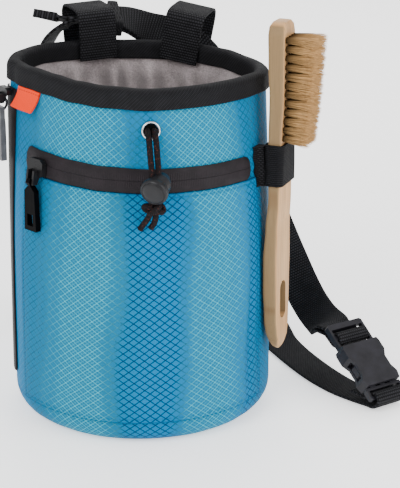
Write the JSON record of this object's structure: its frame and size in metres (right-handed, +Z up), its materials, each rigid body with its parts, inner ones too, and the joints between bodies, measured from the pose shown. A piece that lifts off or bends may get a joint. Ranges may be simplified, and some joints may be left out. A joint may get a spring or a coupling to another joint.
{
  "type": "climbing chalk bag",
  "caption": "Cylindrical soft bag with a fleece-lined open mouth, zipped front pocket, drawcord, belt loops with a buckled waist belt, and a brush in a side sleeve.",
  "frame": {"origin": "middle of the round base, on the floor", "axes": "+Z up through the mouth, -Y out of the front pocket, +X towards the brush"},
  "size_m": [0.2089, 0.2394, 0.204],
  "materials": {
    "ripstop": "woven ripstop, slight sheen",
    "fleece": "soft pile",
    "webbing": "ribbed webbing",
    "elastic": "ribbed elastic",
    "zip_tape": "knitted tape with a coil",
    "dark_plastic": "moulded",
    "grey_plastic": "moulded",
    "steel": "satin",
    "cord": "braided",
    "label": "woven",
    "bamboo": "sanded laminate",
    "bristle": "coarse tufts"
  },
  "bodies": {
    "bag": {"outer_shell": "ripstop", "base_panel": "ripstop", "front_pocket_panel": "ripstop", "fleece_lining": "fleece", "rim_binding": "webbing", "belt_loop_left": "webbing", "belt_loop_right": "webbing", "belt": "webbing", "belt_keeper": "webbing", "brush_holder": "elastic", "front_zip_tape": "zip_tape", "side_zip_tape": "zip_tape", "front_zip_slider": "dark_plastic", "side_zip_slider": "steel", "side_zip_ring": "steel", "eyelet": "steel", "side_zip_puller": "grey_plastic", "cord_lock_barrel": "dark_plastic", "cord_lock_button": "dark_plastic", "buckle_socket": "dark_plastic", "buckle_prong": "dark_plastic", "draw_cord_left": "cord", "draw_cord_right": "cord", "cord_tail_left": "cord", "cord_tail_right": "cord", "cord_knot": "cord", "side_label": "label", "brush_handle": "bamboo", "brush_bristles": "bristle"},
    "puller": {"front_zip_puller": "dark_plastic"}
  },
  "joints": [
    {"name": "front_puller_hinge", "type": "hinge", "parent": "bag", "child": "puller", "pos_m": [-0.05639, -0.03776, 0.13055], "axis": [-0.6111, 0.7915, 0], "range_deg": [0, 120]}
  ]
}
